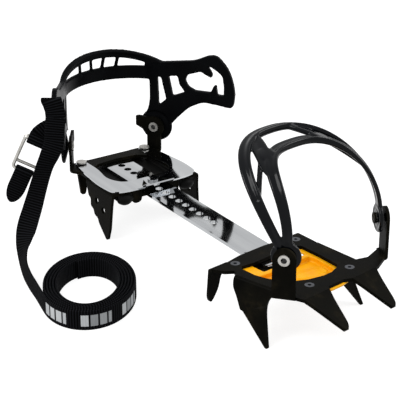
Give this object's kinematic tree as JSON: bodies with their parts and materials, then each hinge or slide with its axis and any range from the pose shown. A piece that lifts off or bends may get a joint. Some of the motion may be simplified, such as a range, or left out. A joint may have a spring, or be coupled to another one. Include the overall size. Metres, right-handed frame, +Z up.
{
  "type": "strap crampon",
  "caption": "Strap crampon for a right boot: bent steel heel and toe plates with points, flat adjusting bar, moulded toe harness and heel basket, and a webbing strap with a ring buckle.",
  "frame": {"origin": "middle of the box of the hard pieces, on the ground under the points", "axes": "+X to the toe, +Y to the wearer's left, +Z up"},
  "size_m": [0.3353, 0.2272, 0.1297],
  "materials": {
    "plate_steel": "black satin paint",
    "bright_steel": "polished stainless sheet",
    "rivet_steel": "bright hollow rivets and rings",
    "dark_rivet": "dark grey",
    "moulding": "glossy black moulding",
    "heel_tray": "matt black moulding",
    "toe_tray": "yellow-orange moulding",
    "webbing": "ribbed black nylon"
  },
  "bodies": {
    "heel_section": {"heel_plate": "plate_steel", "heel_antiball": "heel_tray", "lever_rivets": "rivet_steel", "heel_pivot_rivets": "rivet_steel", "strap_hang": "webbing", "strap_coil": "webbing"},
    "lever": {"adjuster_lever": "bright_steel", "lever_pin": "bright_steel"},
    "basket": {"heel_basket": "moulding", "strap_loop": "webbing", "buckle_webbing": "webbing"},
    "outer_ring": {"ring_outer": "rivet_steel"},
    "inner_ring": {"ring_inner": "rivet_steel", "release_tab": "webbing"},
    "bar": {"link_bar": "bright_steel"},
    "toe_section": {"front_plate": "plate_steel", "front_antiball": "toe_tray", "antiball_rivets": "dark_rivet", "bar_keeper": "plate_steel", "toe_pivot_rivets": "rivet_steel"},
    "harness": {"toe_harness": "moulding"}
  },
  "joints": [
    {"name": "lever_lift", "type": "hinge", "parent": "heel_section", "child": "lever", "pos_m": [-0.14759, 0, 0.04], "axis": [0, -1, 0], "range_deg": [0, 4], "stiffness_Nm_per_rad": 6, "springref_deg": -2.29},
    {"name": "bar_slide", "type": "slide", "parent": "heel_section", "child": "bar", "axis": [1, 0, 0], "range_m": [-0.0285, 0.0285]},
    {"name": "toe_swivel", "type": "hinge", "parent": "bar", "child": "toe_section", "pos_m": [0.06741, 0, 0.03585], "axis": [0, 0, 1], "range_deg": [-18, 2]},
    {"name": "harness_rock", "type": "hinge", "parent": "toe_section", "child": "harness", "pos_m": [0.12268, 0.01736, 0.0675], "axis": [-0.1392, 0.9903, 0], "range_deg": [-15, 20]},
    {"name": "basket_rock", "type": "hinge", "parent": "heel_section", "child": "basket", "pos_m": [-0.14367, 0, 0.059], "axis": [0, 1, 0], "range_deg": [-8, 20], "deforming": ["strap_hang"]},
    {"name": "outer_ring_swing", "type": "hinge", "parent": "basket", "child": "outer_ring", "pos_m": [-0.09772, -0.09062, 0.09], "axis": [0.5198, 0.7424, -0.4226], "range_deg": [0, 45]},
    {"name": "inner_ring_swing", "type": "hinge", "parent": "basket", "child": "inner_ring", "pos_m": [-0.09502, -0.09251, 0.09], "axis": [0.5198, 0.7424, -0.4226], "range_deg": [-12, 0]}
  ]
}
